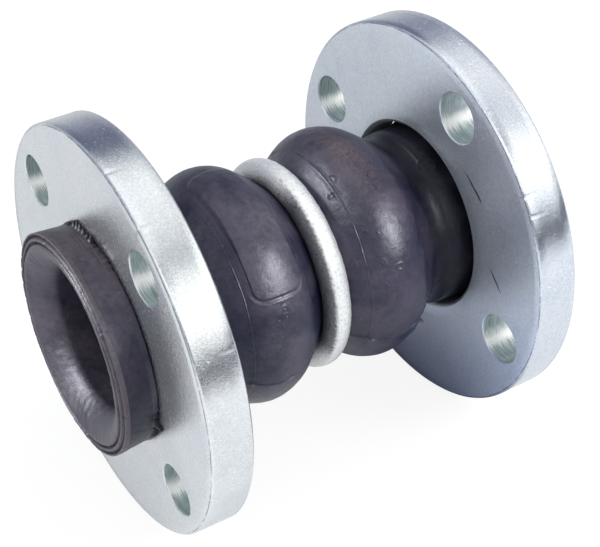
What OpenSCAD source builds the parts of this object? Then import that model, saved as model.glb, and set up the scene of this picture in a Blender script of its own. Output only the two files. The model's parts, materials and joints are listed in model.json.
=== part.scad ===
// Twin-sphere rubber expansion joint for 2 inch pipe, with two floating steel flanges.
// The pipe axis is X, the front flange is at -X, +Z is up, and the origin is the
// centre of the root ring, halfway between the two sealing faces.

/* [Overall] */
// Length between the two rubber sealing faces
face_to_face = 175; // [174:0.1:178]
// Distance from the centre to the outer face of each flange
flange_face = 73.6; // [73:0.1:74.4]

/* [Flanges] */
// Outside diameter of each flange
flange_od = 152.4; // [149:0.1:160]
// Thickness of each flange
flange_t = 15.9; // [14:0.1:16.2]
// Radius of the plain part of the flange's bore
flange_bore_r = 36.8; // [36.2:0.1:38]
// Radius of the bead seat where it meets the flange's outer face
seat_mouth_r = 39.6; // [39.2:0.1:39.8]
// Axial depth of the conical bead seat
seat_depth = 7; // [5:0.1:7.5]
// Chamfer on the rim's two edges
rim_chamfer = 0.8; // [0.3:0.1:1.5]
// Diameter of the bolt circle
bolt_circle = 120.65; // [118:0.05:124]
// Diameter of each bolt hole
bolt_hole_d = 19.05; // [16:0.05:20]
// Number of bolt holes in each flange
bolt_count = 4; // [4, 8]
// Turn of the front flange's first bolt hole, from +Y towards +Z
front_turn = 36.9; // [0:0.1:90]
// Turn of the rear flange's first bolt hole, from +Y towards +Z
rear_turn = 22.2; // [0:0.1:90]
// Angle at which the loose rear flange sits askew on its cuff, turned about Z
rear_skew = 1; // [0:0.1:1]
// How far the loose rear flange has slipped off its seat towards the centre
rear_slip = 0.45; // [0.45:0.05:1]

/* [Rubber body] */
// Inside radius of the cuffs, the nominal bore
bore_r = 26; // [25:0.1:26.4]
// Outside radius of the neck that passes through the flange
neck_r = 34.6; // [34.2:0.1:34.8]
// Outside radius of each arch at its crown
crown_r = 44.5; // [43.5:0.1:45.5]
// Distance from the centre to each crown
crown_x = 24.1; // [23.8:0.1:24.6]
// Radius of the arch's rounded profile
arch_r = 18; // [17.5:0.1:18.3]
// Distance from the centre to the valley between arch and neck
valley_x = 47.6; // [47.2:0.1:48.2]
// Outside radius at the bottom of the valley
valley_bottom_r = 33; // [32.6:0.1:33.3]
// Radius of the valley's rounded profile
valley_r = 7.5; // [7:0.1:7.8]
// Width of the band at each crown that keeps its shape
crown_band = 5; // [4:0.1:5.4]
// Half width of the rubber held under the root ring
waist_half = 5.6; // [5.3:0.1:6]

/* [Wall] */
// Wall thickness at the neck follows from neck_r and bore_r; this is the wall at the crown
wall_crown = 7.6; // [7:0.1:8]
// Wall thickness under the root ring
wall_waist = 5.5; // [5:0.1:5.8]
// Thickness of the inner tube at the neck
tube_t = 2.6; // [2.2:0.1:2.8]
// Thickness of one cord ply at the neck
ply_t = 1.1; // [0.9:0.05:1.2]

/* [Collar] */
// Outside radius of the collar where it leaves the flange
collar_base_r = 40.2; // [40:0.1:40.6]
// Outside radius of the collar at its outer ridge
collar_r = 41.2; // [40.8:0.1:41.8]
// Outside radius of the flat sealing face
face_outer_r = 39.2; // [38.6:0.1:39.8]
// Inside radius of the flat sealing face, where the flare into the bore starts
face_inner_r = 34; // [33:0.1:35]
// Depth of the flare from the sealing face into the bore
flare_depth = 9; // [8:0.1:10]
// Distance from the centre to the bead wire
bead_x = 79.1; // [78.8:0.1:79.3]
// Section radius of the bead wire
bead_wire_r = 2.75; // [2.4:0.05:2.75]
// Where the plies' turned-up ends stop, from the centre
turn_up_x = 75; // [74.6:0.1:76]

/* [Root ring] */
// Radius of the root ring's centre line
ring_r = 35.4; // [35.2:0.1:35.8]
// Diameter of the root ring's round bar
ring_bar_d = 10.2; // [9.8:0.1:10.6]

/* [Hidden] */

// Facets on every round surface
$fn = 96;
// Where the cuff ends and the arch starts, from the centre
cuff_start = 57;
face_x = face_to_face / 2;
// Running gap between the rubber cuff and its floating flange
swivel_gap = 0.35;

// Sections are drawn as [distance along the axis, radius] for the rear half.
groove_r = ring_bar_d / 2 + 0.1;
ring_c = [0, ring_r];
arch_c = [crown_x, crown_r - arch_r];
valley_c = [valley_x, valley_bottom_r + valley_r];

// The flank between two rounded profiles is their common tangent.
in_ang = atan2(arch_c[1] - ring_c[1], arch_c[0]);
in_tangent = in_ang - acos((groove_r + arch_r) / norm(arch_c - ring_c));
out_ang = atan2(valley_c[1] - arch_c[1], valley_c[0] - arch_c[0]);
out_tangent = out_ang + acos((arch_r + valley_r) / norm(valley_c - arch_c));

// Slope of the short rise from the valley up to the neck, and the round that ends it
rise = 25;
shoulder_r = (neck_r - valley_c[1] + valley_r * cos(rise)) / (1 - cos(rise));
shoulder_x = valley_x + valley_r * sin(rise) + shoulder_r * sin(rise);

function on_circle(c, r, a) = c + r * [cos(a), sin(a)];
function smooth(t) = t <= 0 ? 0 : t >= 1 ? 1 : t * t * (3 - 2 * t);
function span(a, b, n) = [for (i = [0 : n]) a + (b - a) * i / n];

// Wall thickness at a distance u from the centre
wall_neck = neck_r - bore_r;
function wall(u) = u < crown_x
    ? wall_waist + (wall_crown - wall_waist) * smooth(u / crown_x)
    : wall_crown + (wall_neck - wall_crown) * smooth((u - crown_x) / (shoulder_x - crown_x));

// Outer skin of the body from the root groove to the cuff: [point, outward normal]
skin = concat(
    [for (a = span(-90, in_tangent, 6)) [on_circle(ring_c, groove_r, a), -[cos(a), sin(a)]]],
    [for (a = span(in_tangent + 180, out_tangent, 14)) [on_circle(arch_c, arch_r, a), [cos(a), sin(a)]]],
    [for (a = span(out_tangent + 180, 270 + rise, 8)) [on_circle(valley_c, valley_r, a), -[cos(a), sin(a)]]],
    [for (a = span(90 + rise, 90, 3)) if (a < 90 + rise)
        [on_circle([shoulder_x, neck_r - shoulder_r], shoulder_r, a), [cos(a), sin(a)]]],
    [[[cuff_start, neck_r], [0, 1]]]
);

// Depth of each boundary below the skin, as a share of the wall: cover, outer ply, inner ply, tube
share = [0,
    (wall_neck - tube_t - 2 * ply_t) / wall_neck,
    (wall_neck - tube_t - ply_t) / wall_neck,
    (wall_neck - tube_t) / wall_neck,
    1];

// Boundary k of the wall, from the centre to the cuff
function edge(k) = [for (s = skin) s[0] - s[1] * share[k] * wall(s[0][0])];
// The same boundary over both halves, from front to rear
function both(p) = concat([for (i = [len(p) - 1 : -1 : 1]) [-p[i][0], p[i][1]]], p);
function reversed(p) = [for (i = [len(p) - 1 : -1 : 0]) p[i]];
function flip(p) = [for (q = p) [q[1], q[0]]];

// Turns a section drawn as [radius, distance] about the X axis
module revolve() rotate([0, 90, 0]) rotate_extrude() children();

// One layer of the wall between two distances along the axis
module layer(k, from, to) revolve() intersection() {
    polygon(flip(concat(both(edge(k)), reversed(both(edge(k + 1))))));
    translate([0, from]) square([60, to - from]);
}

// The pieces of the rear half are mirrored for the front half.
module side(s) if (s > 0) children(); else mirror([1, 0, 0]) children();

// Cuff: its boundaries in the neck line up with those of the arch
ply_in_r = bore_r + tube_t;
ply_mid_r = ply_in_r + ply_t;
ply_out_r = ply_mid_r + ply_t;
bead_hold_r = 2.8;
bead_c = [bead_x, ply_out_r + bead_hold_r];
face_skin = 2.8;

module cuff_outline() polygon(flip(concat(
    [[cuff_start, bore_r], [cuff_start, neck_r], [62, neck_r],
     [flange_face - seat_depth, flange_bore_r - swivel_gap - 0.3],
     [flange_face - 0.4, seat_mouth_r - swivel_gap - 0.4],
     [flange_face + swivel_gap, seat_mouth_r - swivel_gap],
     [flange_face + swivel_gap, collar_base_r - 0.4],
     [flange_face + swivel_gap + 0.6, collar_base_r],
     [face_x - 2.2, collar_r - 0.1], [face_x - 1.5, collar_r],
     [face_x - 0.8, collar_r - 0.3], [face_x - 0.2, face_outer_r + 0.7],
     [face_x, face_outer_r], [face_x, face_inner_r]],
    [for (t = span(0, 1, 6)) if (t > 0)
        [face_x - flare_depth * t, bore_r + (face_inner_r - bore_r) * (1 - t) * (1 - t)]]
)));

// A ply runs along the neck, round the bead wire and back as a turn-up.
function hook(d) = [for (a = span(-90, 90, 8)) on_circle(bead_c, d, a)];
module cuff_ply_outline(outer, inner) polygon(flip(concat(
    [[cuff_start, bead_c[1] - outer]], hook(outer),
    [[turn_up_x, bead_c[1] + outer], [turn_up_x, bead_c[1] + inner]],
    reversed(hook(inner)), [[cuff_start, bead_c[1] - inner]]
)));
module cuff_ply_inner_outline() cuff_ply_outline(bead_hold_r + 2 * ply_t, bead_hold_r + ply_t);
module cuff_ply_outer_outline() cuff_ply_outline(bead_hold_r + ply_t, bead_hold_r);

// Inner tube in the cuff: bore liner, flare and the skin of the sealing face
module cuff_tube_area() polygon(flip([
    [cuff_start - 1, bore_r - 2], [cuff_start - 1, ply_in_r],
    [bead_x, ply_in_r], [bead_x, bead_c[1]],
    [face_x - face_skin, bead_c[1]], [face_x - face_skin, 50],
    [face_x + 1, 50], [face_x + 1, bore_r - 2]]));
module cuff_tube() revolve() difference() {
    intersection() { cuff_outline(); cuff_tube_area(); }
    polygon(flip(concat(hook(bead_hold_r + 2 * ply_t), [[bead_x - 1, bead_c[1] + 1], [bead_x - 1, ply_in_r]])));
}
module cuff_ply_inner() revolve() cuff_ply_inner_outline();
module cuff_ply_outer() revolve() cuff_ply_outer_outline();

// Outer cover in the cuff, with the filler behind the bead wire
module cuff_cover() revolve() difference() {
    cuff_outline();
    cuff_tube_area();
    cuff_ply_inner_outline();
    cuff_ply_outer_outline();
    polygon(flip([for (a = span(-90, 270, 16)) if (a < 270) on_circle(bead_c, bead_hold_r, a)]));
}

module bead_wire(s) side(s) revolve() translate([bead_c[1], bead_c[0]]) circle(bead_wire_r, $fn = 48);

// Floating flange: plain bore, conical bead seat towards the outer face, four bolt holes
module flange(s, turn) difference() {
    side(s) revolve() polygon(flip([
        [flange_face - flange_t, flange_bore_r + 0.5], [flange_face - flange_t, flange_od / 2 - rim_chamfer],
        [flange_face - flange_t + rim_chamfer, flange_od / 2], [flange_face - rim_chamfer, flange_od / 2],
        [flange_face, flange_od / 2 - rim_chamfer], [flange_face, seat_mouth_r],
        [flange_face - seat_depth, flange_bore_r], [flange_face - flange_t + 0.5, flange_bore_r]]));
    for (i = [0 : bolt_count - 1])
        rotate([turn + i * 360 / bolt_count, 0, 0])
            translate([s * (flange_face - flange_t / 2), bolt_circle / 2, 0])
                rotate([0, 90, 0]) cylinder(d = bolt_hole_d, h = flange_t + 4, center = true);
}

rubber = "#33323b";
cord = "#d9d2bf";
tube_rubber = "#2a2a30";
zinc = "#ccd2d6";

module front_flange() { color(zinc) flange(-1, front_turn); }
module rear_flange() {
    middle = flange_face - flange_t / 2;
    color(zinc) translate([middle - rear_slip, 0, 0]) rotate([0, 0, rear_skew])
        translate([-middle, 0, 0]) flange(1, rear_turn);
}
module root_ring() { color("#c3c8c9") revolve() translate([ring_r, 0]) circle(d = ring_bar_d, $fn = 64); }
module front_bead_wire() { color("#9aa0a5") bead_wire(-1); }
module rear_bead_wire() { color("#9aa0a5") bead_wire(1); }

module front_cuff_tube() { color(tube_rubber) side(-1) cuff_tube(); }
module front_cuff_ply_inner() { color(cord) side(-1) cuff_ply_inner(); }
module front_cuff_ply_outer() { color(cord) side(-1) cuff_ply_outer(); }
module front_cuff_cover() { color(rubber) side(-1) cuff_cover(); }
module rear_cuff_tube() { color(tube_rubber) side(1) cuff_tube(); }
module rear_cuff_ply_inner() { color(cord) side(1) cuff_ply_inner(); }
module rear_cuff_ply_outer() { color(cord) side(1) cuff_ply_outer(); }
module rear_cuff_cover() { color(rubber) side(1) cuff_cover(); }

module front_arch_tube() { color(tube_rubber) layer(3, -cuff_start, -waist_half); }
module front_arch_ply_inner() { color(cord) layer(2, -cuff_start, -waist_half); }
module front_arch_ply_outer() { color(cord) layer(1, -cuff_start, -waist_half); }
module front_arch_cover_neck_side() { color(rubber) layer(0, -cuff_start, -crown_x - crown_band / 2); }
module front_arch_cover_crown() { color(rubber) layer(0, -crown_x - crown_band / 2, -crown_x + crown_band / 2); }
module front_arch_cover_waist_side() { color(rubber) layer(0, -crown_x + crown_band / 2, -waist_half); }

module waist_tube() { color(tube_rubber) layer(3, -waist_half, waist_half); }
module waist_ply_inner() { color(cord) layer(2, -waist_half, waist_half); }
module waist_ply_outer() { color(cord) layer(1, -waist_half, waist_half); }
module waist_cover() { color(rubber) layer(0, -waist_half, waist_half); }

module rear_arch_tube() { color(tube_rubber) layer(3, waist_half, cuff_start); }
module rear_arch_ply_inner() { color(cord) layer(2, waist_half, cuff_start); }
module rear_arch_ply_outer() { color(cord) layer(1, waist_half, cuff_start); }
module rear_arch_cover_neck_side() { color(rubber) layer(0, crown_x + crown_band / 2, cuff_start); }
module rear_arch_cover_crown() { color(rubber) layer(0, crown_x - crown_band / 2, crown_x + crown_band / 2); }
module rear_arch_cover_waist_side() { color(rubber) layer(0, waist_half, crown_x - crown_band / 2); }

front_flange();
rear_flange();
root_ring();
front_bead_wire();
rear_bead_wire();
front_cuff_tube();
front_cuff_ply_inner();
front_cuff_ply_outer();
front_cuff_cover();
front_arch_tube();
front_arch_ply_inner();
front_arch_ply_outer();
front_arch_cover_neck_side();
front_arch_cover_crown();
front_arch_cover_waist_side();
waist_tube();
waist_ply_inner();
waist_ply_outer();
waist_cover();
rear_arch_tube();
rear_arch_ply_inner();
rear_arch_ply_outer();
rear_arch_cover_neck_side();
rear_arch_cover_crown();
rear_arch_cover_waist_side();
rear_cuff_tube();
rear_cuff_ply_inner();
rear_cuff_ply_outer();
rear_cuff_cover();
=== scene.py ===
"""Looks for the twin-sphere rubber expansion joint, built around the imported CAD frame.

Lengths below are in millimetres and become metres when a mesh is made.
u is the distance from the centre along the pipe axis, th the angle round it from +Y towards +Z.
"""

import json
import math

import bmesh
import bpy
import numpy as np
from mathutils import Matrix, Vector

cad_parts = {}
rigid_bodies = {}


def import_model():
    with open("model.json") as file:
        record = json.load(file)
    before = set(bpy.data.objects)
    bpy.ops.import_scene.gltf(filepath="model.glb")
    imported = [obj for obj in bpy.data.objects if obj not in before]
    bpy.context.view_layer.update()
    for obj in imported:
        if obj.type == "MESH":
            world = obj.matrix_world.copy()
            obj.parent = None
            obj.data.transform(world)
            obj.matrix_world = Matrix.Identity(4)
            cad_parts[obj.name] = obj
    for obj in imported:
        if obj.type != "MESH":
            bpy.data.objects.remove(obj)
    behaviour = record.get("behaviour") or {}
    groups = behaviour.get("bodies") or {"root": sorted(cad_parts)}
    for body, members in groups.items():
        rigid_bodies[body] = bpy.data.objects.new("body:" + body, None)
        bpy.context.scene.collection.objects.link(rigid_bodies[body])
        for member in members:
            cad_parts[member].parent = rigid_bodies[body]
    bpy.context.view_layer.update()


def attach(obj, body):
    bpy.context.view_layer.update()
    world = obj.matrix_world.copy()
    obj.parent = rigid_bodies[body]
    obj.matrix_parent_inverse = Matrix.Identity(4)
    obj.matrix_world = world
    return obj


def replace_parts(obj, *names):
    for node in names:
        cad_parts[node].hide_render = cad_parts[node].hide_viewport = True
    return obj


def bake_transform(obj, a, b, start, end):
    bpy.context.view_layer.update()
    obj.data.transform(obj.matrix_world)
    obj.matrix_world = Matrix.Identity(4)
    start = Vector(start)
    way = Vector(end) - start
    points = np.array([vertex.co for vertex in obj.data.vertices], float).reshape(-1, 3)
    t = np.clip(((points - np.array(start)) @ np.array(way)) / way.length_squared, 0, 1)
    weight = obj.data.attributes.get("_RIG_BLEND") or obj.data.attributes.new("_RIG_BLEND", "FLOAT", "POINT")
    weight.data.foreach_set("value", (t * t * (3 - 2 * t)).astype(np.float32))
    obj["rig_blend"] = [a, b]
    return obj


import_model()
MM = 0.001
TAU = 2 * math.pi


# ---------------------------------------------------------------- small maths
def smooth(t):
    t = np.clip(t, 0.0, 1.0)
    return t * t * (3 - 2 * t)


def step(value, a, b):
    """0 below a, 1 above b, smooth between."""
    return smooth((np.asarray(value, float) - a) / (b - a))


def turn(a, b):
    """Signed difference of two angles in degrees."""
    return (np.asarray(a, float) - b + 180.0) % 360.0 - 180.0


def bell(d, width):
    return np.exp(-((np.asarray(d, float) / width) ** 2))


def waves(x, th, seed, size, radius=42.0, n=40):
    """Smooth random field of unit strength on the surface, seamless round the axis. size is the lump size in mm."""
    rng = np.random.default_rng(seed)
    out = np.zeros(np.broadcast(x, th).shape)
    rad = np.radians(th)
    for _ in range(n):
        k = TAU / size * rng.uniform(0.45, 1.0)
        a = rng.uniform(0, TAU)
        m = round(k * math.sin(a) * radius)
        out += np.cos(k * math.cos(a) * x + m * rad + rng.uniform(0, TAU))
    return out * math.sqrt(2.0 / n)


def around(th, seed, low, high, n=24):
    """Random field along a circle, with wave numbers from low to high."""
    rng = np.random.default_rng(seed)
    rad = np.radians(th)
    out = np.zeros(np.shape(rad))
    for _ in range(n):
        out += np.cos(int(rng.integers(low, high + 1)) * rad + rng.uniform(0, TAU))
    return out * math.sqrt(2.0 / n)


def arc(c, r, a0, a1, n):
    a = np.radians(np.linspace(a0, a1, n + 1))
    return [(c[0] + r * math.cos(t), c[1] + r * math.sin(t)) for t in a]


def refine(points, gap, dense=(), fine=0.06, reach=0.5):
    """Splits a polyline so that no step is over gap, and steps near the dense values of x are fine."""
    out = [points[0]]
    for a, b in zip(points[:-1], points[1:]):
        a, b = np.array(a, float), np.array(b, float)
        length = float(np.linalg.norm(b - a))
        if length < 1e-9:
            continue
        g = gap
        for d in dense:
            if min(a[0], b[0]) - reach <= d <= max(a[0], b[0]) + reach:
                g = fine
        n = max(1, math.ceil(length / g))
        out += [tuple(a + (b - a) * i / n) for i in range(1, n + 1)]
    return out


# ---------------------------------------------------------------- the rubber wall's profile (rear half, u >= 0)
RING_R, GROOVE = 35.4, 5.2
ARCH_C, ARCH_R = (24.1, 26.5), 18.0
VALLEY_C, VALLEY_R = (47.6, 40.5), 7.5
RISE = 25.0
NECK, BORE = 34.6, 26.0
in_ang = math.degrees(math.atan2(ARCH_C[1] - RING_R, ARCH_C[0]))
gap_in = math.hypot(ARCH_C[0], ARCH_C[1] - RING_R)
in_tan = in_ang - math.degrees(math.acos((GROOVE + ARCH_R) / gap_in))
out_ang = math.degrees(math.atan2(VALLEY_C[1] - ARCH_C[1], VALLEY_C[0] - ARCH_C[0]))
gap_out = math.hypot(VALLEY_C[0] - ARCH_C[0], VALLEY_C[1] - ARCH_C[1])
out_tan = out_ang + math.degrees(math.acos((ARCH_R + VALLEY_R) / gap_out))
cr, sr = math.cos(math.radians(RISE)), math.sin(math.radians(RISE))
SHOULDER_R = (NECK - VALLEY_C[1] + VALLEY_R * cr) / (1 - cr)
SHOULDER_X = VALLEY_C[0] + VALLEY_R * sr + SHOULDER_R * sr
WALL_NECK = NECK - BORE
SHARE = [0, (WALL_NECK - 4.8) / WALL_NECK, (WALL_NECK - 3.7) / WALL_NECK, (WALL_NECK - 2.6) / WALL_NECK, 1.0]


def wall(u):
    if u < ARCH_C[0]:
        return 5.5 + (7.6 - 5.5) * float(smooth(u / ARCH_C[0]))
    return 7.6 + (WALL_NECK - 7.6) * float(smooth((u - ARCH_C[0]) / (SHOULDER_X - ARCH_C[0])))


def skin():
    """Outer skin from the root groove to the cuff, finely stepped: (u, r, normal u, normal r)."""
    out = []
    for c, r, a0, a1, sign, n in (
        ((0.0, RING_R), GROOVE, -90.0, in_tan, -1, 16),
        (ARCH_C, ARCH_R, in_tan + 180, 90.0, 1, 48),
        (ARCH_C, ARCH_R, 90.0, out_tan, 1, 42),
        (VALLEY_C, VALLEY_R, out_tan + 180, 270 + RISE, -1, 26),
        ((SHOULDER_X, NECK - SHOULDER_R), SHOULDER_R, 90 + RISE, 90.0, 1, 12),
    ):
        for t in np.radians(np.linspace(a0, a1, n + 1)):
            p = (c[0] + r * math.cos(t), c[1] + r * math.sin(t), sign * math.cos(t), sign * math.sin(t))
            if not out or math.hypot(p[0] - out[-1][0], p[1] - out[-1][1]) > 1e-6:
                out.append(p)
    out.append((57.0, NECK, 0.0, 1.0))
    return out


SKIN = skin()


def edge(k, u0, u1):
    """Boundary k of the wall between two distances from the centre, as [(u, r)], cut exactly at both ends."""
    pts = [(u - nu * SHARE[k] * wall(u), r - nr * SHARE[k] * wall(u)) for u, r, nu, nr in SKIN]
    us = [p[0] for p in pts]
    rs = [p[1] for p in pts]
    inner = [p for p in pts if u0 + 1e-4 < p[0] < u1 - 1e-4]
    return [(u0, float(np.interp(u0, us, rs)))] + inner + [(u1, float(np.interp(u1, us, rs)))]


BEAD = (79.1, 33.6)


def hook(d, a0=-90.0, a1=90.0, n=18):
    return arc(BEAD, d, a0, a1, n)


# ---------------------------------------------------------------- relief of the outer skin
def moulding(x, th):
    """Height in mm of everything moulded on the outer skin, at place x and angle th."""
    x, th = np.broadcast_arrays(np.asarray(x, float), np.asarray(th, float))
    u = np.abs(x)
    out = 0.075 * waves(x, th, 11, 26.0) + 0.03 * waves(x, th, 12, 9.0) + 0.012 * waves(x, th, 13, 3.2, n=60)
    out *= step(u, 5.5, 9.0)
    # mould parting circles, one on the front flank of each arch
    for place, seed in ((-36.3, 21), (12.0, 22)):
        near = np.abs(x - place) < 2.0
        if near.any():
            d = (x - place)[near] - 0.08 * around(th[near], seed, 2, 9)
            strength = 0.20 + 0.09 * np.clip(around(th[near], seed + 5, 3, 30), -1.2, 1.6)
            end = 164.0 if place < 0 else 151.0
            crisp = 1.0 - (0.55 if place < 0 else 0.40) * step(th[near], end, end + 3.0) * (1 - step(th[near], 300.0, 330.0))
            if place < 0:
                crisp = crisp * (0.22 + 0.78 * step(th[near], 118.0, 132.0))
            out[near] += crisp * strength * bell(d, 0.11) - 0.04 * crisp * bell(d - 0.34, 0.15)
            out[near] += (0.03 * bell(d - 1.25, 0.22)) * step(th[near], end, end + 4.0)
            if place > 0:
                fat = step(th[near], 78.0, 96.0) * (1 - step(th[near], 112.0, 121.0))
                out[near] += 0.34 * fat * bell(d + 0.25, 0.75)
    d = np.hypot((x - 13.2) / 1.0, np.radians(turn(th, 106.0)) * 43.0 / 1.4)
    out += 0.30 * bell(d - 0.7, 0.45)
    # axial parting lines on both arches, and the ones opposite
    for sign, base in ((-1, 200.0), (1, 202.0)):
        for half, level in ((0.0, 1.0), (180.0, 0.9)):
            here = x * sign > 6.5
            centre = base + half - 0.30 * (x - (-37.0 if sign < 0 else 12.0))
            d = np.radians(turn(th, centre)) * 43.0 - 0.12 * waves(x, 0.0 * th, 31 + sign, 14.0, n=12)
            near = here & (np.abs(d) < 3.0) & (u < 56.0)
            out[near] += level * (0.34 + 0.10 * waves(x, 0.0 * th, 33 + sign, 5.0, n=16)[near]) * bell(d[near], 0.20)
            out[near] -= 0.10 * bell(d[near] - 0.60, 0.28)
    # thin flash left where the lines meet, and a torn fin under the rear arch
    for px, pt, size, tall in ((-36.5, 200.0, 0.8, 0.55), (13.5, 202.0, 0.8, 0.6), (-6.9, 198.0, 0.9, 0.8)):
        d = np.hypot(x - px, np.radians(turn(th, pt)) * 42.0)
        out += tall * bell(d, size)
    fin = np.radians(turn(th, 207.0 + 0.35 * (x - 30.0))) * 40.0
    out += (x > 28) * (x < 46) * bell(fin, 0.35) * (0.35 + 0.25 * waves(x, 0 * th, 41, 3.0, n=16))
    out += 1.5 * bell(np.hypot(x - 37.0, fin), 0.55)
    # blank label pad on the front arch
    s = ARCH_R * np.arcsin(np.clip((x + ARCH_C[0]) / ARCH_R, -0.98, 0.98))
    t = np.radians(turn(th, 112.0)) * 43.5
    s0, t0, hs, ht, rc = -0.35, 0.0, 9.35, 28.9, 4.2
    qx, qy = np.abs(s - s0) - (hs - rc), np.abs(t - t0) - (ht - rc)
    d = np.hypot(np.maximum(qx, 0), np.maximum(qy, 0)) + np.minimum(np.maximum(qx, qy), 0) - rc
    d = np.where(x > -2.0, 99.0, d)
    worn = 1.0 - 0.45 * step(t, -6.0, -26.0)
    crisp = np.maximum(step(t, -2.0, 15.0), 0.7 * step(s - s0, 4.0, 8.0) * step(t, -20.0, -8.0))
    soft = 0.25 + 1.15 * (1 - crisp)
    out += worn * (0.62 + 0.26 * np.clip((s - s0) / hs, -1, 1) ** 2) * (1 - smooth((d + 0.8 * soft + 0.10) / (1.6 * soft)))
    out -= worn * 0.10 * crisp * bell(d - 0.42, 0.28) + 0.22 * bell(d - 0.75, 0.55) * step(t, 22.0, 28.0)
    out += 0.10 * bell(d - 1.9, 0.40) * step(t, 16.0, 26.0)
    # small moulding marks: vent nubs and ring marks
    for px, pt, ring, tall in (
        (-24.5, 156.2, 0.75, 0.16), (-24.5, 159.6, 0.65, 0.14), (22.5, 158.0, 1.15, 0.16), (10.6, 112.5, 0.95, 0.22),
        (10.0, 152.0, 0.6, 0.14), (17.0, 153.5, 0.8, 0.12), (20.5, 86.0, 2.5, 0.14), (-30.0, 236.0, 0.9, 0.15), (28.0, 262.0, 1.1, 0.15),
    ):
        d = np.hypot(x - px, np.radians(turn(th, pt)) * 43.0)
        out += tall * bell(d - ring, 0.26)
    for px, pt, size, tall in (
        (-20.0, 105.0, 0.45, 0.30), (-18.0, 115.0, 0.40, 0.26), (-19.0, 104.0, 0.3, 0.2), (14.6, 137.0, 0.4, 0.22), (18.0, 140.0, 0.35, 0.2),
        (33.0, 150.0, 0.5, 0.3), (-12.2, 168.0, 0.5, 0.28), (-33.0, 172.0, 0.4, 0.2), (9.0, 187.0, 0.4, 0.3), (-7.4, 182.0, 0.45, 0.35),
        (23.0, 300.0, 0.6, 0.3), (-26.0, 320.0, 0.6, 0.3), (-21.0, 20.0, 0.5, 0.25), (26.0, 10.0, 0.5, 0.25),
    ):
        d = np.hypot(x - px, np.radians(turn(th, pt)) * 43.0)
        out += tall * bell(d, size)
    # shallow scrape on the rear crown
    d = np.hypot((x - 20.8) / 1.0, np.radians(turn(th, 121.0)) * 44.0 / 2.6)
    out -= 0.10 * bell(d, 1.0) * (0.6 + 0.4 * waves(x, th, 51, 1.6, n=30))
    # scuffed patch on the rear crown
    patch = bell((x - 22.5) / 6.0, 1.0) * bell(turn(th, 90.0) / 22.0, 1.0)
    out += 0.035 * patch * waves(x, th, 52, 2.2, n=60)
    # plain round spot on the rear neck
    d = np.hypot(x - 53.3, np.radians(turn(th, 112.0)) * 34.5)
    out += 0.14 * bell(d - 3.3, 0.35) - 0.08 * (1 - step(d, 2.7, 3.1))
    # edge of the neck reinforcement
    out += 0.16 * bell(u - 51.6, 0.5) * (0.6 + 0.4 * waves(x, th, 55, 18.0, n=16))
    return out


def collar_relief(u, th, seed):
    """Wear, flash and scars on the outside of a cuff's collar (u from 74 to 86)."""
    out = 0.05 * waves(u, th, seed, 18.0) + 0.02 * waves(u, th, seed + 1, 3.0, n=50)
    # ragged flash where the collar leaves the flange, in two places
    for place, spread, tall in ((80.0, 24.0, 1.25), (72.0, 9.0, 1.0), (201.0, 11.0, 2.1), (197.0, 3.5, 1.1), (320.0, 8.0, 0.8)):
        rag = np.clip(0.55 + 0.75 * around(th, seed + int(place), 14, 110), 0.0, 1.7)
        out += tall * rag * bell(turn(th, place) / spread, 1.0) * (1 - step(u, 74.3, 76.0))
    # scars on the side that shows
    for pu, pt, lu, lt, deep in ((77.4, 88.0, 0.5, 8.0, 0.22), (78.6, 84.0, 0.35, 5.0, 0.2), (76.6, 101.0, 0.35, 6.0, 0.2),
                                 (79.5, 96.0, 0.3, 3.0, 0.12), (77.0, 112.0, 0.25, 1.2, 0.15), (80.0, 152.0, 0.2, 2.0, 0.12)):
        out -= deep * bell((u - pu - 0.1 * turn(th, pt) / lt) / lu, 1.0) * bell(turn(th, pt) / lt, 1.0)
    return out


# ---------------------------------------------------------------- meshes
def make(name, verts, faces_quads, mat, attrs=(), sharp=32.0, mats=None, face_mats=None):
    """A mesh object from vertices in mm (n,3) and quads (m,4), with float attributes."""
    me = bpy.data.meshes.new(name)
    verts = np.asarray(verts, np.float64) * MM
    quads = np.asarray(faces_quads, np.int32)
    corner = [verts[quads[:, k]] for k in range(4)]
    turned = np.einsum("ij,ij->i", corner[0], np.cross(corner[1], corner[2])) + np.einsum("ij,ij->i", corner[0], np.cross(corner[2], corner[3]))
    if turned.sum() < 0:
        quads = np.ascontiguousarray(quads[:, ::-1])
    me.vertices.add(len(verts))
    me.vertices.foreach_set("co", verts.astype(np.float32).ravel())
    me.loops.add(quads.size)
    me.loops.foreach_set("vertex_index", quads.ravel())
    me.polygons.add(len(quads))
    me.polygons.foreach_set("loop_start", np.arange(0, quads.size, quads.shape[1], dtype=np.int32))
    me.polygons.foreach_set("loop_total", np.full(len(quads), quads.shape[1], np.int32))
    me.update(calc_edges=True)
    for m in mats or [mat]:
        me.materials.append(m)
    if face_mats is not None:
        me.polygons.foreach_set("material_index", np.asarray(face_mats, np.int32))
    me.polygons.foreach_set("use_smooth", np.ones(len(quads), bool))
    rest = me.attributes.new("rest", "FLOAT_VECTOR", "POINT")
    rest.data.foreach_set("vector", (verts / MM).astype(np.float32).ravel())
    for key, values in attrs:
        a = me.attributes.new(key, "FLOAT", "POINT")
        a.data.foreach_set("value", np.asarray(values, np.float32).ravel())
    me.set_sharp_from_angle(angle=math.radians(sharp))
    me.validate()
    me.update()
    ob = bpy.data.objects.new(name, me)
    bpy.context.scene.collection.objects.link(ob)
    return ob


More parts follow.
